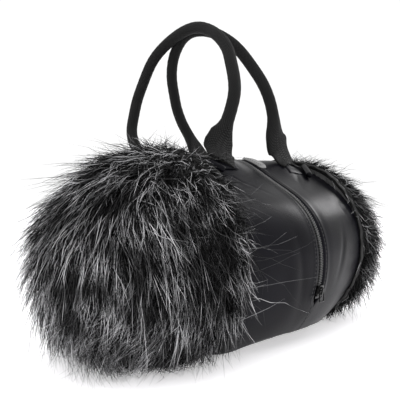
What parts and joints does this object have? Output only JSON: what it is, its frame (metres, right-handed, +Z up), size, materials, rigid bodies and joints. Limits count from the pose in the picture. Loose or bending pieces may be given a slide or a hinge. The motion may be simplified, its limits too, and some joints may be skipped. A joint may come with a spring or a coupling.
{
  "type": "furry windscreen",
  "caption": "Barrel-shaped furry windscreen for a two-eared microphone: leatherette body split by a zip, long-fur end caps over foam, two webbing carry handles.",
  "frame": {"origin": "the middle of the barrel's flattened underside, under the sewn seam, on the surface that the windscreen lies on", "axes": "+X along the barrel towards its right fur cap, -Y to the front where the slider is parked, +Z up"},
  "size_m": [0.45, 0.2409, 0.3258],
  "materials": {
    "leatherette": "satin, fine grain",
    "tab_leather": "satin, fine grain",
    "piping": "satin",
    "fur": "long pile, frosted tips",
    "knit_backing": "matte knit",
    "foam": "open-cell foam",
    "zip_tape": "matte woven tape",
    "zip_chain": "moulded",
    "slider_metal": "gloss black",
    "webbing": "woven webbing",
    "handle_core": "matte cord",
    "board": "matte"
  },
  "bodies": {
    "left_half": {"left_panel": "leatherette", "left_panel_lining": "foam", "left_piping": "piping", "left_fur_backing": "knit_backing", "left_fur_pile": "fur", "left_cap_foam": "foam", "left_zip_tape": "zip_tape", "left_zip_teeth": "zip_chain", "left_foot_welt": "leatherette", "left_front_patch": "leatherette", "left_back_patch": "leatherette", "base_gusset": "leatherette", "base_board": "board", "zip_front_stop": "zip_chain", "zip_back_stop": "zip_chain"},
    "right_half": {"right_panel": "leatherette", "right_panel_lining": "foam", "right_piping": "piping", "right_fur_backing": "knit_backing", "right_fur_pile": "fur", "right_cap_foam": "foam", "right_zip_tape": "zip_tape", "right_zip_teeth": "zip_chain", "right_foot_welt": "leatherette", "right_front_patch": "leatherette", "right_back_patch": "leatherette", "side_tab": "tab_leather"},
    "slider": {"slider_body": "slider_metal"},
    "puller": {"slider_puller": "slider_metal"},
    "left_handle": {"left_handle_webbing": "webbing", "left_handle_core": "handle_core", "left_front_paddle": "webbing", "left_back_paddle": "webbing"},
    "right_handle": {"right_handle_webbing": "webbing", "right_handle_core": "handle_core", "right_front_paddle": "webbing", "right_back_paddle": "webbing"}
  },
  "joints": [
    {"name": "open_right_half", "type": "hinge", "parent": "left_half", "child": "right_half", "pos_m": [0, -0.02067, 0.00791], "axis": [0, 0.9613, -0.2756], "range_deg": [0, 30], "deforming": ["base_gusset"]},
    {"name": "slider_travel", "type": "hinge", "parent": "left_half", "child": "slider", "pos_m": [0, 0, 0.08], "axis": [-1, 0, 0], "range_deg": [0, 242.74]},
    {"name": "puller_swing", "type": "hinge", "parent": "slider", "child": "puller", "pos_m": [0, -0.0984, 0.05295], "axis": [-1, 0, 0], "range_deg": [-8, 100]},
    {"name": "left_handle_fold", "type": "hinge", "parent": "left_half", "child": "left_handle", "pos_m": [-0.048, -0.01841, 0.17677], "axis": [0, 0.9613, -0.2756], "range_deg": [-50, 0]},
    {"name": "right_handle_fold", "type": "hinge", "parent": "right_half", "child": "right_handle", "pos_m": [0.048, -0.01841, 0.17677], "axis": [0, 0.9613, -0.2756], "range_deg": [0, 50]}
  ]
}
